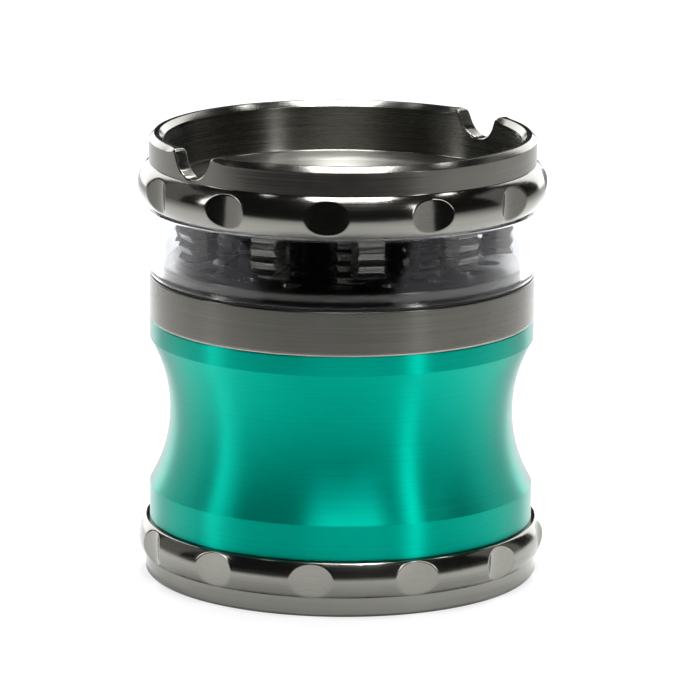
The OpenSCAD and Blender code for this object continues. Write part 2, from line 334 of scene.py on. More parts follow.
def scalloped_bead(shell, centre_z, low, high, first_az):
    """The bead's surface from angle low to angle high of its round section, one sector per scallop."""
    rim = square_rim(SIDE)
    rays = []
    for u, v in rim:
        x, y = to_disc(u, v)
        per_unit = math.hypot(math.radians(SECTOR / 2 * x) * bead_reach(0),
                              math.radians(OVAL_SPAN * y) * BEAD_ARC)
        edge = oval_edge(x, y)
        room = (high if y > 0 else -low) / OVAL_SPAN / max(abs(y), 1e-6) - edge
        rays.append((x, y, edge, per_unit, min(room, CREASE_ROOM)))

    def crease_row(offset):
        row = []
        for x, y, edge, per_unit, room in rays:
            step = offset / per_unit
            if step > 0:
                step = min(step, room * offset)
            row.append((SECTOR / 2 * x * (edge + step), OVAL_SPAN * y * (edge + step)))
        return row

    rows = [crease_row(offset) for offset in CREASE]
    outer = [(SECTOR / 2 * u, between(low, high, (v + 1) / 2)) for u, v in rim]
    last = rows[-1]
    rows += [[(between(p[0], q[0], t), between(p[1], q[1], t)) for p, q in zip(last, outer)]
             for t in OUTER_SHARES]
    for k in range(SCALLOPS):
        azimuth = first_az + k * SECTOR
        shell.strips([shell.row([bead_point(centre_z, azimuth, a, phi) for a, phi in row],
                                MIRROR if n < CREASE_INSIDE else 0.0)
                      for n, row in enumerate(rows)])
        inside = []
        for j in range(SIDE + 1):
            line = []
            for i in range(SIDE + 1):
                x, y = to_disc(-1 + 2 * i / SIDE, -1 + 2 * j / SIDE)
                rho = math.hypot(x, y)
                if rho > 1e-9:
                    ux, uy = x / rho, y / rho
                    per_unit = math.hypot(math.radians(SECTOR / 2 * ux) * bead_reach(0),
                                          math.radians(OVAL_SPAN * uy) * BEAD_ARC)
                    rho *= oval_edge(ux, uy) + CREASE[0] / per_unit
                    x, y = ux * rho, uy * rho
                line.append(bead_point(centre_z, azimuth, SECTOR / 2 * x, OVAL_SPAN * y))
            inside.append(shell.row(line, MIRROR))
        shell.grid(inside)


# ---------------------------------------------------------------- ashtray lid

RIM_COLUMNS = 2 * COLUMNS
NOTCH_STEPS = 16            # columns from the middle of a notch to the end of its rounded corner
ARC_COLUMNS = 10            # of them, those along the notch's half round
CORNER_FROM = 20.0          # the half round and the rounded corner meet at this slope
NOTCH_EDGE_C = 0.22         # chamfer along a notch
LIP_SOFT = 0.08
LIP_STEPS = 3
CHAMFER_RUN = 14            # columns over which a notch's chamfer grows to the lip's
RIM_FINISH, LIP_FINISH, WALL_FINISH, FLOOR_FINISH = -0.1, -0.3, -0.6, -0.8     # of the rim and the ashtray
RIM_SHARES = (1.0, 0.97, 0.8, 0.5, 0.2)     # places of the rows up the rim's outer wall
WALL_SHARES = (0.1, 0.3, 0.6, 0.85, 1.0)    # and down the ashtray's wall
FILLET_STEPS = 6
TRAY_RINGS = ((0.99, 1), (0.9, 2), (0.6, 4), (0.25, 8))     # share of the floor's radius, columns in one
LID_LOW_SOFT, LID_HIGH_SOFT = 2.5, 1.5      # degrees of the bead given to the softening of its edges
LID_EDGE = ((-0.15, 0.0), (-0.02, 0.05))    # its lower edge: places out and up from the sharp corner


def notch_column(j):
    """Place (sideways, height), normal into the metal and chamfer width, j columns from a notch's middle."""
    n = min(abs(j), NOTCH_STEPS)
    side = 1 if j >= 0 else -1
    chamfer = between(NOTCH_EDGE_C, LIP_C, smoothstep((abs(j) - ARC_COLUMNS) / CHAMFER_RUN))
    if n <= ARC_COLUMNS:
        a = math.radians(between(-90, -CORNER_FROM, n / ARC_COLUMNS))
        return (side * NOTCH_R * math.cos(a), NOTCH_R * math.sin(a), side * math.cos(a), math.sin(a),
                chamfer)
    corner = (n - ARC_COLUMNS - 1) / (NOTCH_STEPS - ARC_COLUMNS - 1)
    b = math.radians(between(CORNER_FROM, 90, corner))
    t = NOTCH_R + NOTCH_ROUND - NOTCH_ROUND * math.cos(b)
    z = -NOTCH_ROUND + NOTCH_ROUND * math.sin(b)
    return side * t, z, side * math.cos(b), -math.sin(b), chamfer


def rim_section(chamfer):
    """The rim's top as (distance in from the outer wall, depth below the lip)."""
    width = RIM_R - TRAY_R
    below = chamfer + 0.1
    return rounded([(0, below, 0), (0, chamfer, LIP_SOFT), (chamfer, 0, LIP_SOFT),
                    (width - chamfer, 0, LIP_SOFT), (width, chamfer, LIP_SOFT), (width, below, 0)],
                   closed=False, steps=LIP_STEPS)


def rim_rows(start):
    """Rows of (azimuth, radius, z) over the rim's lip, from its outer wall to its inner wall."""
    pitch = 360 / RIM_COLUMNS
    middle = round((NOTCH_AZ - start) / pitch)
    half = RIM_COLUMNS // 2
    columns = []
    for k in range(RIM_COLUMNS):
        j = (k - middle + half // 2) % half - half // 2
        notch_az = NOTCH_AZ + 180 * round(((k - j - middle) % RIM_COLUMNS) / half)
        t, z, nt, nz, chamfer = notch_column(j)
        column = []
        for inward, depth in rim_section(chamfer):
            radius = RIM_R - inward
            azimuth = math.degrees(math.asin((t + depth * nt) / radius))
            if abs(j) > NOTCH_STEPS:
                share = (abs(j) - NOTCH_STEPS) / (half / 2 - NOTCH_STEPS)
                azimuth = between(azimuth, math.copysign(90, j), share)
            column.append((notch_az + azimuth, radius, LID_TOP + z + depth * nz))
        columns.append(column)
    return [list(row) for row in zip(*columns)]


def wall_rows(edge, plain, shares):
    """Rows on a wall between a shaped edge row and a plain row, both of (azimuth, radius, z)."""
    def nearest(a, b):
        return a + 360 * round((b - a) / 360)

    return [[(between(nearest(e[0], p[0]), p[0], t), p[1], between(e[2], p[2], t))
             for e, p in zip(edge, plain)] for t in shares]


def make_lid():
    shell = Shell()
    start = LID_SCALLOP_AZ - SECTOR / 2
    low = -math.degrees(math.asin((LID_BEAD_Z - LID_Z) / BEAD_ARC))
    high = math.degrees(math.acos((RIM_R - BEAD_CENTRE) / BEAD_ARC))
    bottom_r = bead_reach(low)
    (edge0_out, edge0_up), (edge1_out, edge1_up) = LID_EDGE
    underside = held(rounded([
        (0, LID_HUB_Z + MAGNET_T, 0), (POCKET_HUB_R, LID_HUB_Z + MAGNET_T, 0),
        (POCKET_HUB_R, LID_HUB_Z, 0.1), (HUB_R, LID_HUB_Z, 0.4), (HUB_R, LID_Z - STEP_H, 0.2),
        (STEP_R, LID_Z - STEP_H, 0.15), (STEP_R, LID_Z, 0.1),
        (bottom_r + edge0_out, LID_Z + edge0_up, 0)], closed=False), closed=False)
    rows = [shell.ring(r, z, start=start) for r, z in underside]
    rows.append(shell.ring(bottom_r + edge1_out, LID_Z + edge1_up, start=start))
    lowest, topmost = low + LID_LOW_SOFT, high - LID_HIGH_SOFT
    rows.append(bead_ring(shell, LID_BEAD_Z, lowest, LID_SCALLOP_AZ))
    shell.strips(rows)
    scalloped_bead(shell, LID_BEAD_Z, lowest, topmost, LID_SCALLOP_AZ)

    # the rim, from the crease over the bead to the ashtray's floor
    crease_z = LID_BEAD_Z + BEAD_ARC * math.sin(math.radians(high))
    azimuths = [start + 360 * k / RIM_COLUMNS for k in range(RIM_COLUMNS)]
    crease = [(a, RIM_R, crease_z) for a in azimuths]
    fillet = [(a, TRAY_R, TRAY_FLOOR + TRAY_ROUND) for a in azimuths]
    lip = rim_rows(start)
    outer = wall_rows(lip[0], crease, RIM_SHARES)
    inner = wall_rows(lip[-1], fillet, WALL_SHARES)
    rows = [bead_ring(shell, LID_BEAD_Z, topmost, LID_SCALLOP_AZ)]
    for stretch, finish in ((outer, RIM_FINISH), (lip, LIP_FINISH), (inner, WALL_FINISH)):
        rows += [shell.row([polar(*p) for p in row], finish) for row in stretch]
    centre_r, centre_z = TRAY_R - TRAY_ROUND, TRAY_FLOOR + TRAY_ROUND
    for k in range(1, FILLET_STEPS + 1):
        a = math.radians(90 * k / FILLET_STEPS)
        rows.append(shell.ring(centre_r + TRAY_ROUND * math.cos(a), centre_z - TRAY_ROUND * math.sin(a),
                               RIM_COLUMNS, start, between(WALL_FINISH, FLOOR_FINISH, k / FILLET_STEPS)))
    for share, in_one in TRAY_RINGS:
        rows.append(shell.ring(centre_r * share, TRAY_FLOOR, RIM_COLUMNS // in_one, start, FLOOR_FINISH))
    rows.append(shell.ring(0, TRAY_FLOOR, finish=FLOOR_FINISH))
    shell.strips(rows)
    make_piece("lid", shell, "lid", "gunmetal_polished", "ashtray_lid")


# ---------------------------------------------------------------- catch base

BASE_LOW_SOFT, BASE_HIGH_SOFT = 0.2, 2.0    # degrees of the bead given to the softening of its edges
BASE_LOW_EDGE = ((0.0, -0.02), (-0.03, 0.0))        # places out and up from the sharp corners
BASE_HIGH_EDGE = ((-0.01, -0.05), (-0.12, 0.0))
BOWL_STEPS = 8


def make_base():
    shell = Shell()
    start = BASE_SCALLOP_AZ - SECTOR / 2
    low = -math.degrees(math.asin((BASE_BEAD_Z - FOOT_H) / BEAD_ARC))
    high = math.degrees(math.asin((BASE_TOP - BASE_BEAD_Z) / BEAD_ARC))
    (low0_out, low0_up), (low1_out, low1_up) = BASE_LOW_EDGE
    outside = held(rounded([
        (0, 0, 0), (FOOT_R - FOOT_C, 0, 0.1), (FOOT_R, FOOT_C, 0.15),
        (FOOT_R + low0_out, FOOT_H + low0_up, 0)], closed=False), closed=False)
    rows = [shell.ring(r, z, start=start) for r, z in outside]
    rows.append(shell.ring(bead_reach(low) + low1_out, FOOT_H + low1_up, start=start))
    lowest, topmost = low + BASE_LOW_SOFT, high - BASE_HIGH_SOFT
    rows.append(bead_ring(shell, BASE_BEAD_Z, lowest, BASE_SCALLOP_AZ))
    shell.strips(rows)
    scalloped_bead(shell, BASE_BEAD_Z, lowest, topmost, BASE_SCALLOP_AZ)

    top_r = bead_reach(high)
    (high0_out, high0_up), (high1_out, high1_up) = BASE_HIGH_EDGE
    inside = held(rounded([
        (top_r + high1_out, BASE_TOP + high1_up, 0), (REBATE_R, BASE_TOP, 0.1),
        (REBATE_R, BASE_TOP - REBATE_DEPTH, 0.05), (BORE_R, BASE_TOP - REBATE_DEPTH, 0.2),
        (BORE_R, BORE_FLOOR, 0.1), (BOWL_R, BORE_FLOOR, 0.15), (BOWL_R, BOWL_FLOOR, BOWL_ROUND),
        (0, BOWL_FLOOR, 0)], closed=False, steps=BOWL_STEPS), closed=False)
    rows = [bead_ring(shell, BASE_BEAD_Z, topmost, BASE_SCALLOP_AZ),
            shell.ring(top_r + high0_out, BASE_TOP + high0_up, start=start)]
    rows += [shell.ring(r, z, start=start) for r, z in inside]
    shell.strips(rows)
    make_piece("base", shell, "base", "gunmetal_polished", "catch_base")


# ---------------------------------------------------------------- drum

WAIST_STEPS = 48


def make_drum():
    half = (WAIST_TOP - WAIST_LOW) / 2
    depth = DRUM_R - WAIST_R
    arc_r = (half ** 2 + depth ** 2) / (2 * depth)
    waist = []
    for k in range(1, WAIST_STEPS):
        z = between(-half, half, k / WAIST_STEPS)
        waist.append((WAIST_R + arc_r - math.sqrt(arc_r ** 2 - z ** 2), WAIST_LOW + half + z, 0))
    make_piece("drum_shell", lathe([
        (DRUM_SPIGOT_R, DRUM_BOTTOM, 0.05), (DRUM_R, DRUM_BOTTOM, 0.2), (DRUM_R, WAIST_LOW, 0.15), *waist,
        (DRUM_R, WAIST_TOP, 0.15), (DRUM_R, DRUM_TOP, 0.2), (DRUM_BORE_R, DRUM_TOP, 0.2),
        (DRUM_BORE_R, DRUM_BORE_Z, 0.1), (CAVITY_R, DRUM_BORE_Z, 0.15),
        (CAVITY_R, SCREEN_TOP + LEDGE_T + LEDGE_SLOPE, 0.3), (LEDGE_R, SCREEN_TOP + LEDGE_T, 0.1),
        (LEDGE_R, SCREEN_TOP, 0.1), (POCKET_R, SCREEN_TOP, 0), (POCKET_R, DRUM_LOW, 0.1),
        (DRUM_SPIGOT_R, DRUM_LOW, 0.3)]), "drum", "green_anodised", "drum")


# ---------------------------------------------------------------- tooth plate

HOLE_C, HOLE_LAND = 0.15, 0.1       # chamfer of a drop hole, and the flat row kept round it


def hole_band(shell, inner_r, outer_r, hole_r, count, z, way):
    """One face of the chamber floor with its ring of drop holes; way is 1 for the top face."""
    sector = 360 / count
    rim = square_rim(COLUMNS // count)
    for k in range(count):
        azimuth = k * sector
        a = math.radians(azimuth)
        rows = []
        for grow, drop in ((0.0, FLOOR_T / 2), (0.0, HOLE_C), (HOLE_C, 0.0), (HOLE_C + HOLE_LAND, 0.0)):
            row = []
            for u, v in rim:
                x, y = to_disc(u, v)
                sideways = (DROP_R + grow) * x
                outward = hole_r + (DROP_R + grow) * y
                row.append((outward * math.sin(a) + sideways * math.cos(a),
                            -outward * math.cos(a) + sideways * math.sin(a), z - way * drop))
            rows.append(shell.row(row))
        rows.append(shell.row([polar(azimuth + sector / 2 * u, between(inner_r, outer_r, (v + 1) / 2), z)
                               for u, v in rim]))
        shell.strips(rows)


def make_tooth_plate():
    shell = Shell()
    under_z = FLOOR_Z - FLOOR_T
    (in0, in1, in_r, in_count), (out0, out1, out_r, out_count) = HOLE_BANDS
    hub = [(0, PLATE_HUB_Z - MAGNET_T, 0), (POCKET_HUB_R, PLATE_HUB_Z - MAGNET_T, 0),
           (POCKET_HUB_R, PLATE_HUB_Z, 0.1), (HUB_R, PLATE_HUB_Z, 0.4), (HUB_R, FLOOR_Z, 0.2),
           (in0, FLOOR_Z, 0)]
    wall = [(out1, FLOOR_Z, 0), (BOSS_R, FLOOR_Z, 0.3), (BOSS_R, BAND_TOP, 0), (BAND_R, BAND_TOP, 0.2),
            (BAND_R, PLATE_Z, 0.2), (SPIGOT_R, PLATE_Z, 0), (SPIGOT_R, SPIGOT_LOW, 0.3),
            (PLATE_INSIDE_R, SPIGOT_LOW, 0.15), (PLATE_INSIDE_R, under_z, 0), (out1, under_z, 0)]
    for outline in (hub, [(in1, FLOOR_Z, 0), (out0, FLOOR_Z, 0)], wall,
                    [(out0, under_z, 0), (in1, under_z, 0)], [(in0, under_z, 0), (0, under_z, 0)]):
        points = held(rounded(outline, closed=False), closed=False)
        shell.strips([shell.ring(r, z) for r, z in points])
    for z, way in ((FLOOR_Z, 1), (under_z, -1)):
        hole_band(shell, in0, in1, in_r, in_count, z, way)
        hole_band(shell, out0, out1, out_r, out_count, z, way)
    make_piece("plate", shell, "chamber", "gunmetal_turned", "tooth_plate")


# ---------------------------------------------------------------- teeth

TIP_SHARE, INNER_TIP_SHARE = 0.55, 0.6      # width of the outer tips to the tooth's, of the inner to the outer
TIP_RUN = 1.0               # the diamond's tips lie this far beyond its ring
TOOTH_CHAMFER = 0.06
GROOVE_FLAT = 0.1
BURIED = 0.2                # the teeth run this far into the metal they stand on


def tooth_section(inner, outer, r_in, r_out):
    """A diamond with cut-off tips between two radii, as (outward, sideways) points."""
    half = TOOTH_W / 2
    tip = half * TIP_SHARE
    middle = (inner + outer) / 2
    y_in = between(half, tip * INNER_TIP_SHARE, (middle - r_in) / (middle - inner + TIP_RUN))
    y_out = between(half, tip, (r_out - middle) / (outer + TIP_RUN - middle))
    lower = [(math.sqrt(r_in ** 2 - y_in ** 2), -y_in), (middle, -half),
             (math.sqrt(r_out ** 2 - y_out ** 2), -y_out), (r_out, 0)]
    return lower + [(x, -y) for x, y in reversed(lower[:3])] + [(r_in, 0)]


def add_teeth(shell, ring, phase, z0, z1, buried_low, buried_high):
    """A ring of teeth with V grooves turned into both its faces; buried ends run into the metal."""
    inner, outer, count = ring
    grooves = int((z1 - z0) / SERRATION_H)
    step = (z1 - z0) / grooves
    stations = [(z0 - buried_low, 0.0)]
    for k in range(grooves):
        foot = z0 + k * step
        stations += [(foot + GROOVE_FLAT, 0.0), (foot + step / 2 - GROOVE_FLAT / 2, SERRATION_D),
                     (foot + step / 2 + GROOVE_FLAT / 2, SERRATION_D), (foot + step - GROOVE_FLAT, 0.0)]
    stations.append((z1 + buried_high, 0.0))
    for k in range(count):
        a = math.radians(phase + 360 * k / count)
        rows = []
        for z, depth in stations:
            section = tooth_section(inner, outer, inner + depth, outer - depth)
            rows.append(shell.row([
                (x * math.sin(a) + y * math.cos(a), -x * math.cos(a) + y * math.sin(a), z)
                for x, y in section]))
        shell.strips(rows)
        shell.faces += [tuple(reversed(rows[0])), tuple(rows[-1])]


def make_teeth():
    lid = Shell()
    for ring in LID_RINGS:
        add_teeth(lid, ring, LID_PHASE, LID_Z - LID_TOOTH_L, LID_Z - STEP_H, 0, BURIED)
    make_piece("lid_teeth", lid, "lid", "gunmetal_turned", chamfer=TOOTH_CHAMFER, look="gunmetal_milled")
    plate = Shell()
    for ring in PLATE_RINGS:
        add_teeth(plate, ring, PLATE_PHASE, FLOOR_Z, FLOOR_Z + PLATE_TOOTH_L, BURIED, 0)
    make_piece("plate_teeth", plate, "chamber", "gunmetal_turned", chamfer=TOOTH_CHAMFER,
               look="gunmetal_milled")


# ---------------------------------------------------------------- threads

THREAD_STEPS = 96           # points in a turn
THREAD_FADE = THREAD_STEPS / 8      # points over which a ridge grows from either end
THREAD_LEAST = 0.02         # size of its ends
RIDGE_H = 0.45
RIDGE_SUNK = 0.05           # the ridges run this far into the wall they stand on
RIDGE_FOOT, RIDGE_SHOULDER, RIDGE_CREST = 0.6, 0.24, 0.14       # half widths
SHOULDER_SHARE = 0.85       # height of the shoulders to the crest's


def make_thread(name, body, slot, root, crest, z0, z1, phase):
    """One right-hand ridge wound along a wall, fading out at both ends."""
    shell = Shell()
    turns = (z1 - z0) / PITCH
    steps = int(turns * THREAD_STEPS)
    sunk = math.copysign(RIDGE_SUNK, crest - root)
    rows = []
    for k in range(steps + 1):
        fade = between(THREAD_LEAST, 1, smoothstep(min(k, steps - k) / THREAD_FADE))
        z = z0 + PITCH * k / THREAD_STEPS
        azimuth = phase + 360 * k / THREAD_STEPS
        top = between(root, crest, fade)
        shoulder = between(root, top, SHOULDER_SHARE)
        section = [(root - sunk, z - RIDGE_FOOT * fade), (shoulder, z - RIDGE_SHOULDER * fade),
                   (top, z - RIDGE_CREST * fade), (top, z + RIDGE_CREST * fade),
                   (shoulder, z + RIDGE_SHOULDER * fade), (root - sunk, z + RIDGE_FOOT * fade)]
        rows.append(shell.row([polar(azimuth, r, height) for r, height in section]))
    shell.strips(rows)
    shell.faces += [tuple(reversed(rows[0])), tuple(rows[-1])]
    make_piece(name, shell, body, slot)


def thread_phase(z):
    """Azimuth at which a ridge centred on the male threads' helix passes height z."""
    return 360 * z / PITCH


def make_threads():
    # side is 1 for a ridge that stands outwards; the inside ridges run half a pitch from the outside ones
    for name, body, slot, root, side, z0, z1, shift in (
            ("plate_thread", "chamber", "gunmetal_turned", SPIGOT_R, 1, SPIGOT_LOW + 0.9, PLATE_Z - 0.9, 0),
            ("drum_bore_thread", "drum", "green_anodised", DRUM_BORE_R, -1, DRUM_BORE_Z + 0.8,
             DRUM_TOP - 0.9, 0.5),
            ("drum_spigot_thread", "drum", "green_anodised", DRUM_SPIGOT_R, 1, DRUM_LOW + 0.8,
             DRUM_BOTTOM - 0.8, 0),
            ("base_thread", "base", "gunmetal_polished", BORE_R, -1, BORE_FLOOR + 0.7,
             BASE_TOP - REBATE_DEPTH - 0.7, 0.5)):
        phase = thread_phase(z0) + 360 * shift
        make_thread(name, body, slot, root, root + side * RIDGE_H, z0, z1, phase)


# ---------------------------------------------------------------- woven screen

WIRE_GAP, WIRE_R = 0.95, 0.075
WIRE_LIFT = 0.95 * WIRE_R   # how far a wire rises and falls where it crosses another
SCREEN_EDGE = 0.2           # the screen is this much smaller than its pocket all round


def make_screen():
    """Plain weave of fine wire, cut round."""
    shell = Shell()
    radius = POCKET_R - SCREEN_EDGE - WIRE_R
    middle = (SCREEN_LOW + SCREEN_TOP) / 2
    wires = int(radius / WIRE_GAP)
    for across in (False, True):
        for w in range(-wires, wires + 1):
            offset = w * WIRE_GAP
            end = math.sqrt(radius ** 2 - offset ** 2)
            count = int(end / WIRE_GAP)
            rows = []
            for along in [-end] + [k * WIRE_GAP for k in range(-count, count + 1)] + [end]:
                k = round(along / WIRE_GAP)
                lift = WIRE_LIFT * (1 if (k + w + across) % 2 else -1)
                if abs(along) == end:
                    lift = 0
                ring = []
                for c in range(4):
                    a = math.radians(45 + 90 * c)
                    side, up = WIRE_R * math.cos(a), WIRE_R * math.sin(a)
                    point = (along, offset + side, middle + lift + up)
                    ring.append((point[1], point[0], point[2]) if across else point)
                rows.append(shell.row(ring))
            shell.strips(rows)
            shell.faces += [tuple(reversed(rows[0])), tuple(rows[-1])]
    make_piece("screen_weave", shell, "drum", "steel_mesh", "screen_mesh")


# ---------------------------------------------------------------- rings, seals and magnets

SKIN = 0.01                 # a ring stays this far clear of the parts it lies between
GLIDE_INNER_R = 27.65
MAGNET_ROUND = 0.3
WINDOW_ROUND = 0.35
WINDOW_REBATE_R, WINDOW_REBATE_DEPTH = 28.55, 0.55


def make_ring(name, node, body, slot, inner, rounding):
    """A flat ring with rounded edges, as large as its CAD node less the skin."""
    z0, z1 = level(node)
    z0, z1, outer = z0 + SKIN, z1 - SKIN, reach(node) - SKIN
    make_piece(name, lathe([(inner, z0, rounding), (outer, z0, rounding), (outer, z1, rounding),
                            (inner, z1, rounding)]), body, slot, node)


def make_small_parts():
    make_ring("base_slip_ring", "base_washer", "base_seal", "nylon", inner=BORE_R + 0.2, rounding=0.12)
    make_ring("plate_slip_ring", "plate_washer", "plate_seal", "nylon", inner=DRUM_BORE_R + 0.05,
              rounding=0.07)
    make_ring("window_seal", "window_gasket", "chamber", "seal_black", inner=BOSS_R + 0.05, rounding=0.1)
    make_ring("lid_slip_ring", "glide_ring", "glide", "nylon", inner=GLIDE_INNER_R, rounding=0.15)
    make_ring("screen_seal", "screen_gasket", "drum", "seal_black", inner=LEDGE_R + 0.1, rounding=0.2)
    make_ring("screen_retainer", "screen_ring", "drum", "steel_ring", inner=LEDGE_R, rounding=0.2)
    for name, node, body in (("lid_disc_magnet", "lid_magnet", "lid"),
                             ("plate_disc_magnet", "plate_magnet", "chamber")):
        z0, z1 = level(node)
        radius = reach(node)
        make_piece(name, lathe([(0, z0, 0), (radius, z0, MAGNET_ROUND), (radius, z1, MAGNET_ROUND),
                                (0, z1, 0)], closed=False, columns=COLUMNS // 3), body, "nickel", node)


def make_window():
    rebate_z = LID_Z - WINDOW_REBATE_DEPTH
    inner = BOSS_R + 0.05
    make_piece("window", lathe([
        (inner, WINDOW_LOW, 0.1), (BAND_R, WINDOW_LOW, WINDOW_ROUND), (BAND_R, WINDOW_TOP, WINDOW_ROUND),
        (WINDOW_REBATE_R, WINDOW_TOP, 0.1), (WINDOW_REBATE_R, rebate_z, 0.05), (inner, rebate_z, 0.1)]),
        "chamber", "clear_acrylic", "window_ring")


# ---------------------------------------------------------------- materials

def new_material(name):
    material = bpy.data.materials.new(name)
    material.use_nodes = True
    return material.node_tree, material.node_tree.nodes["Principled BSDF"], material


def add_node(tree, kind, settings=(), sockets=()):
    node = tree.nodes.new("ShaderNode" + kind)
    for name, value in dict(settings).items():
        setattr(node, name, value)
    for name, value in dict(sockets).items():
        node.inputs[name].default_value = value
    return node


def link(tree, start, end):
    tree.links.new(start, end)


def math_node(tree, operation, *values):
    node = add_node(tree, "Math", {"operation": operation})
    for k, value in enumerate(values):
        if isinstance(value, (int, float)):
            node.inputs[k].default_value = value
        else:
            link(tree, value, node.inputs[k])
    return node.outputs[0]


def turned_vector(tree, across, around, outward=1.0):
    """Coordinates in which noise shows as lathe lines: fine along r and z, drawn out round the axis."""
    place = add_node(tree, "TexCoord")
    split = add_node(tree, "SeparateXYZ")
    link(tree, place.outputs["Object"], split.inputs[0])
    x, y, z = split.outputs
    radius = math_node(tree, "SQRT", math_node(tree, "ADD", math_node(tree, "MULTIPLY", x, x),
                                               math_node(tree, "MULTIPLY", y, y)))
    join = add_node(tree, "CombineXYZ")
    link(tree, math_node(tree, "MULTIPLY", radius, across * outward), join.inputs[0])
    link(tree, math_node(tree, "MULTIPLY", math_node(tree, "ADD", x, y), around), join.inputs[1])
    link(tree, math_node(tree, "MULTIPLY", z, across), join.inputs[2])
    return join.outputs[0]


def noise(tree, vector, scale, detail=2.0, roughness=0.5):
    node = add_node(tree, "TexNoise", (), {"Scale": scale, "Detail": detail, "Roughness": roughness})
    link(tree, vector, node.inputs["Vector"])
    return node.outputs["Fac"]


NOISE_LOW, NOISE_HIGH = 0.3, 0.7    # most of the noise lies between these


def mapped(tree, value, from_low, from_high, low, high):
    node = add_node(tree, "MapRange", (), {"From Min": from_low, "From Max": from_high,
                                           "To Min": low, "To Max": high})
    link(tree, value, node.inputs["Value"])
    return node.outputs["Result"]


def spread(tree, factor, low, high):
    """Maps noise to the range from low to high."""
    return mapped(tree, factor, NOISE_LOW, NOISE_HIGH, low, high)


def colour_between(tree, factor, low, high):
    ramp = add_node(tree, "ValToRGB")
    first, last = ramp.color_ramp.elements
    first.position, first.color = NOISE_LOW, (*low, 1)
    last.position, last.color = NOISE_HIGH, (*high, 1)
    link(tree, factor, ramp.inputs[0])
    return ramp.outputs["Color"]


def bump(tree, height, shader, strength, distance):
    node = add_node(tree, "Bump", (), {"Strength": strength, "Distance": distance * MM})
    link(tree, height, node.inputs["Height"])
    link(tree, node.outputs[0], shader.inputs["Normal"])


def plain_vector(tree):
    return add_node(tree, "TexCoord").outputs["Object"]


FINISH_STEP = 2.4           # a finish of 1 divides the roughness by this
ALONG_LATHE_LINES = 0.25    # anisotropic rotation, in turns
LINE_LENGTH = 25            # coarseness of the lathe lines round the axis
SMUDGE_SCALE = 90
SMUDGE_SHARE = 0.5          # of the smudges in colour and roughness
METAL_BUMP, CLEAR_BUMP, SOFT_BUMP = 0.6, 0.15, 0.4      # strengths
SOFT_ROUGH_SPREAD = 0.08


def turned_metal(name, dark, light, roughness, rough_spread, anisotropy, lines, bump_height, outward=1.0,
                 edge=(1.0, 1.0, 1.0)):
    """Metal off a lathe: fine lines round the axis, drawn-out highlights, faint smudges.

    lines is their number in a metre along the axis, and outward the share of it on a flat face. edge is the
    tint at a grazing angle.
    """
    tree, shader, material = new_material(name)
    shader.inputs["Metallic"].default_value = 1
    shader.inputs["Specular Tint"].default_value = (*edge, 1)
    shader.inputs["Anisotropic"].default_value = anisotropy
    shader.inputs["Anisotropic Rotation"].default_value = ALONG_LATHE_LINES
    tangent = add_node(tree, "Tangent", {"direction_type": "RADIAL", "axis": "Z"})
    link(tree, tangent.outputs[0], shader.inputs["Tangent"])
    fine = noise(tree, turned_vector(tree, lines, LINE_LENGTH, outward), 1, detail=3, roughness=0.6)
    smudge = noise(tree, plain_vector(tree), SMUDGE_SCALE, detail=3, roughness=0.55)
    both = math_node(tree, "MULTIPLY_ADD", math_node(tree, "SUBTRACT", smudge, 0.5), SMUDGE_SHARE, fine)
    link(tree, colour_between(tree, both, dark, light), shader.inputs["Base Color"])
    finish = add_node(tree, "Attribute", {"attribute_name": "finish"}).outputs["Fac"]
    coarser = math_node(tree, "POWER", FINISH_STEP, math_node(tree, "MULTIPLY", finish, -1))
    link(tree, math_node(tree, "MULTIPLY", coarser,
                         spread(tree, both, roughness - rough_spread, roughness + rough_spread)),
         shader.inputs["Roughness"])
    bump(tree, fine, shader, METAL_BUMP, bump_height)
    return material


def clear_material():
    """Polished acrylic with hair-fine scratches. Its tint keeps the reflection of the table faint."""
    tree, shader, material = new_material("clear_acrylic")
    shader.inputs["Base Color"].default_value = (0.87, 0.88, 0.905, 1)
    shader.inputs["Transmission Weight"].default_value = 1
    shader.inputs["IOR"].default_value = 1.49
    shader.inputs["Specular Tint"].default_value = (0.45, 0.45, 0.48, 1)
    scratches = noise(tree, turned_vector(tree, across=2500, around=60), 1, detail=2, roughness=0.7)
    link(tree, spread(tree, scratches, 0.0, 0.06), shader.inputs["Roughness"])
    bump(tree, scratches, shader, CLEAR_BUMP, distance=0.002)
    return material


def soft_material(name, dark, light, roughness, grain, bump_height, subsurface=0.0):
    """Moulded plastic or rubber with a fine grain."""
    tree, shader, material = new_material(name)
    if subsurface:
        shader.inputs["Subsurface Weight"].default_value = subsurface
        shader.inputs["Subsurface Radius"].default_value = (0.6 * MM, 0.5 * MM, 0.4 * MM)
    speck = noise(tree, plain_vector(tree), grain, detail=4, roughness=0.6)
    link(tree, colour_between(tree, speck, dark, light), shader.inputs["Base Color"])
    link(tree, spread(tree, speck, roughness - SOFT_ROUGH_SPREAD, roughness + SOFT_ROUGH_SPREAD),
         shader.inputs["Roughness"])
    bump(tree, speck, shader, SOFT_BUMP, bump_height)
    return material


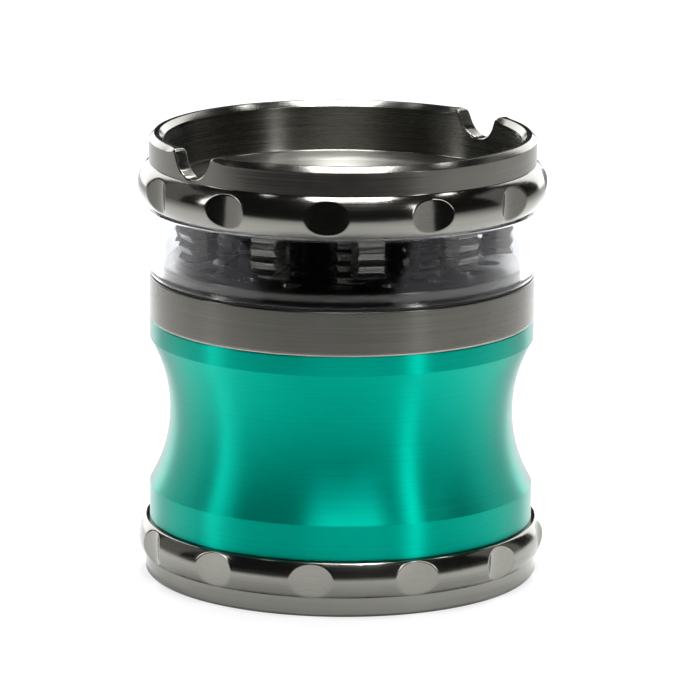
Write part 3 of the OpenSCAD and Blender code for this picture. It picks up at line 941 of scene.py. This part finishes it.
MATERIALS = {
    "gunmetal_polished": turned_metal(
        "gunmetal_polished", dark=(0.17, 0.167, 0.15), light=(0.2, 0.197, 0.18), roughness=0.16,
        rough_spread=0.03, anisotropy=0.85, lines=5200, bump_height=0.002, edge=(0.9, 0.9, 0.9)),
    "gunmetal_turned": turned_metal(
        "gunmetal_turned", dark=(0.115, 0.113, 0.1), light=(0.145, 0.142, 0.128), roughness=0.3,
        rough_spread=0.04, anisotropy=0.85, lines=3600, bump_height=0.006, edge=(0.9, 0.9, 0.9)),
    "gunmetal_milled": turned_metal(
        "gunmetal_milled", dark=(0.16, 0.154, 0.14), light=(0.22, 0.212, 0.195), roughness=0.26,
        rough_spread=0.04, anisotropy=0.5, lines=2400, bump_height=0.015, outward=0.1),
    "green_anodised": turned_metal(
        "green_anodised", dark=(0.0, 0.39, 0.285), light=(0.0, 0.45, 0.335), roughness=0.42,
        rough_spread=0.03, anisotropy=1.0, lines=3800, bump_height=0.004, edge=(1.0, 0.6, 0.7)),
    "nickel": turned_metal(
        "nickel", dark=(0.7, 0.69, 0.66), light=(0.78, 0.77, 0.74), roughness=0.1,
        rough_spread=0.03, anisotropy=0.2, lines=3000, bump_height=0.002),
    "steel_ring": turned_metal(
        "steel_ring", dark=(0.52, 0.52, 0.51), light=(0.62, 0.62, 0.61), roughness=0.28,
        rough_spread=0.06, anisotropy=0.5, lines=3000, bump_height=0.006),
    "steel_mesh": turned_metal(
        "steel_mesh", dark=(0.5, 0.5, 0.49), light=(0.62, 0.62, 0.6), roughness=0.3,
        rough_spread=0.06, anisotropy=0.0, lines=3000, bump_height=0.003),
    "clear_acrylic": clear_material(),
    "nylon": soft_material(
        "nylon", dark=(0.66, 0.57, 0.53), light=(0.74, 0.66, 0.62), roughness=0.42, grain=1500,
        bump_height=0.01, subsurface=0.3),
    "seal_black": soft_material(
        "seal_black", dark=(0.012, 0.012, 0.012), light=(0.03, 0.03, 0.03), roughness=0.55, grain=2500,
        bump_height=0.02),
}


# ---------------------------------------------------------------- camera, lights and floor

CAMERA_PLACE = (0.0013, -0.8, 0.2139)       # metres, as all of the set is
CAMERA_PITCH = 77.36        # degrees from straight down
CAMERA_ROLL = 0.42
CAMERA_LENS, CAMERA_SENSOR = 272.9, 36.0    # mm
CAMERA_CLIP = 0.01


def make_camera():
    data = bpy.data.cameras.new("camera")
    data.sensor_width = CAMERA_SENSOR
    data.lens = CAMERA_LENS
    data.clip_start = CAMERA_CLIP
    camera = bpy.data.objects.new("camera", data)
    bpy.context.scene.collection.objects.link(camera)
    camera.location = CAMERA_PLACE
    camera.rotation_mode = "QUATERNION"
    pitch = Quaternion((1, 0, 0), math.radians(CAMERA_PITCH))
    camera.rotation_quaternion = pitch @ Quaternion((0, 0, 1), math.radians(CAMERA_ROLL))
    bpy.context.scene.camera = camera


PANEL_AIM = (0, 0, 0.035)
ROOM = 0.02                 # brightness of the dark studio round the set


def area_light(name, width, tall, radiance):
    """A softbox that the camera doesn't see, though the metal does."""
    data = bpy.data.lights.new(name, "AREA")
    data.shape = "RECTANGLE"
    data.size, data.size_y = width, tall
    data.energy = radiance * math.pi * width * tall
    light = bpy.data.objects.new(name, data)
    bpy.context.scene.collection.objects.link(light)
    light.visible_camera = False
    return light


def panel(name, azimuth, distance, height, width, tall, radiance):
    """A softbox that faces the middle of the grinder."""
    light = area_light(name, width, tall, radiance)
    light.location = Vector(polar(azimuth, distance, height))
    aim = Vector(PANEL_AIM) - light.location
    light.rotation_euler = aim.to_track_quat("-Z", "Y").to_euler()


def ceiling(name, x, y, z, width, deep, radiance):
    """A softbox overhead, facing straight down."""
    area_light(name, width, deep, radiance).location = (x, y, z)


def seen_directly(tree):
    """1 for what the camera sees, straight or through the clear window, and 0 for what lights the metal."""
    path = add_node(tree, "LightPath").outputs
    straight = math_node(tree, "ADD", path["Is Camera Ray"], path["Is Transmission Ray"])
    bounces = math_node(tree, "ADD", path["Glossy Depth"], path["Diffuse Depth"])
    return math_node(tree, "MULTIPLY", straight, math_node(tree, "LESS_THAN", bounces, 0.5))


def mixed(tree, factor, at_0, at_1):
    mix = add_node(tree, "MixShader")
    for value, socket in zip((factor, at_0, at_1), mix.inputs):
        link(tree, value, socket)
    return mix.outputs[0]


def make_world():
    world = bpy.data.worlds.new("studio")
    bpy.context.scene.world = world
    world.use_nodes = True
    tree = world.node_tree
    tree.nodes.clear()
    out = add_node(tree, "OutputWorld")
    seen = add_node(tree, "Background", (), {"Color": (1, 1, 1, 1), "Strength": 1.0})
    unseen = add_node(tree, "Background", (), {"Color": (1, 1, 1, 1), "Strength": ROOM})
    link(tree, mixed(tree, seen_directly(tree), unseen.outputs[0], seen.outputs[0]), out.inputs[0])


TABLE_CORNERS = [(-2.0, -0.2), (2.0, -0.2), (2.0, 2.0), (-2.0, 2.0)]
TABLE_TURN = -9.0           # degrees
TABLE_DROP = 0.05           # mm the table lies below the foot, so that the two faces stay apart
GLOW_AXIS = (0, 0.06, 0)    # the ranges below are distances from this point, near and far
TABLE_GREY = (0.16, 0.16, 0.16, 1)          # of the table that the camera sees
GLOW_RANGE, GLOW_NEAR, GLOW_FAR = (0.2, 0.9), 0.8, 1.0
# Painted pool of light on the table as the metal sees it: a grey painted lighter near the grinder that falls
# off with distance, and a painted glow near the grinder that lifts the shade beside the foot.
PAINTED_FALLOFF_RANGE, PAINTED_FALLOFF_NEAR, PAINTED_FALLOFF_FAR = (0.14, 0.32), 0.63, 0.36      # of the table that lights the metal
PAINTED_GLOW_RANGE, PAINTED_GLOW_NEAR, PAINTED_GLOW_FAR = (0.1, 0.25), 0.3, 0.0


def make_floor():
    """A white table that ends a little in front of the grinder, so that the metal mirrors the dark room.

    The camera sees it evenly light, and the metal sees a painted pool of light on it: a grey that fades with
    distance and a painted glow near the grinder. It can be looked through from below.
    """
    turn = math.radians(TABLE_TURN)
    corners = [(x * math.cos(turn) - y * math.sin(turn), x * math.sin(turn) + y * math.cos(turn),
                -TABLE_DROP * MM) for x, y in TABLE_CORNERS]
    mesh = bpy.data.meshes.new("floor")
    mesh.from_pydata(corners, [], [(0, 1, 2, 3)])
    floor = bpy.data.objects.new("floor", mesh)
    bpy.context.scene.collection.objects.link(floor)
    tree, shader, material = new_material("white_table")
    shader.inputs["Base Color"].default_value = TABLE_GREY
    shader.inputs["Roughness"].default_value = 0.7
    shader.inputs["Specular IOR Level"].default_value = 0.2
    away = add_node(tree, "VectorMath", {"operation": "DISTANCE"})
    away.inputs[1].default_value = GLOW_AXIS
    link(tree, plain_vector(tree), away.inputs[0])

    def by_distance(distances, at_near, at_far):
        return mapped(tree, away.outputs["Value"], *distances, at_near, at_far)

    def glowing(surface, strength):
        """The surface with a glow added to it."""
        glow = add_node(tree, "Emission")
        link(tree, strength, glow.inputs["Strength"])
        both = add_node(tree, "AddShader")
        link(tree, surface, both.inputs[0])
        link(tree, glow.outputs[0], both.inputs[1])
        return both.outputs[0]

    lit = glowing(shader.outputs[0], by_distance(GLOW_RANGE, GLOW_NEAR, GLOW_FAR))
    # painted pool of light: the grey falls off with distance, and a painted glow is added near the grinder
    grey = add_node(tree, "CombineColor")
    for channel in grey.inputs[:3]:
        link(tree, by_distance(PAINTED_FALLOFF_RANGE, PAINTED_FALLOFF_NEAR, PAINTED_FALLOFF_FAR), channel)
    fading = add_node(tree, "BsdfDiffuse")
    link(tree, grey.outputs[0], fading.inputs["Color"])
    unseen = glowing(fading.outputs[0], by_distance(PAINTED_GLOW_RANGE, PAINTED_GLOW_NEAR, PAINTED_GLOW_FAR))
    below = add_node(tree, "NewGeometry").outputs["Backfacing"]
    clear = add_node(tree, "BsdfTransparent").outputs[0]
    whole = mixed(tree, below, mixed(tree, seen_directly(tree), unseen, lit), clear)
    link(tree, whole, tree.nodes["Material Output"].inputs["Surface"])
    mesh.materials.append(material)


def make_lights():
    ceiling("overhead", x=0.036, y=0.035, z=1.0, width=0.42, deep=0.53, radiance=27.0)
    ceiling("overhead_right", x=0.52, y=0.26, z=1.0, width=0.1, deep=0.13, radiance=16.0)
    ceiling("overhead_left", x=-0.36, y=0.12, z=1.0, width=0.06, deep=0.08, radiance=8.0)
    panel("right_strip", azimuth=47, distance=0.7, height=0.4, width=0.08, tall=0.46, radiance=9.5)
    panel("left_strip", azimuth=-84, distance=0.8, height=0.43, width=0.08, tall=0.52, radiance=8.5)
    panel("back_top", azimuth=180, distance=0.55, height=0.8, width=0.12, tall=0.3, radiance=42.0)
    panel("left_panel", azimuth=-114, distance=0.9, height=0.3, width=0.45, tall=0.8, radiance=0.35)
    panel("right_panel", azimuth=108, distance=0.8, height=0.3, width=0.4, tall=0.7, radiance=0.4)
    for name, azimuth in (("back_left", -154), ("back_right", 154)):
        panel(name, azimuth, distance=0.9, height=0.3, width=0.46, tall=1.0, radiance=3.4)


# ---------------------------------------------------------------- build

make_camera()
make_world()
make_floor()
make_lights()

make_base()
make_drum()
make_screen()
make_tooth_plate()
make_window()
make_lid()
make_teeth()
make_threads()
make_small_parts()

bpy.context.scene.view_settings.view_transform = "Standard"
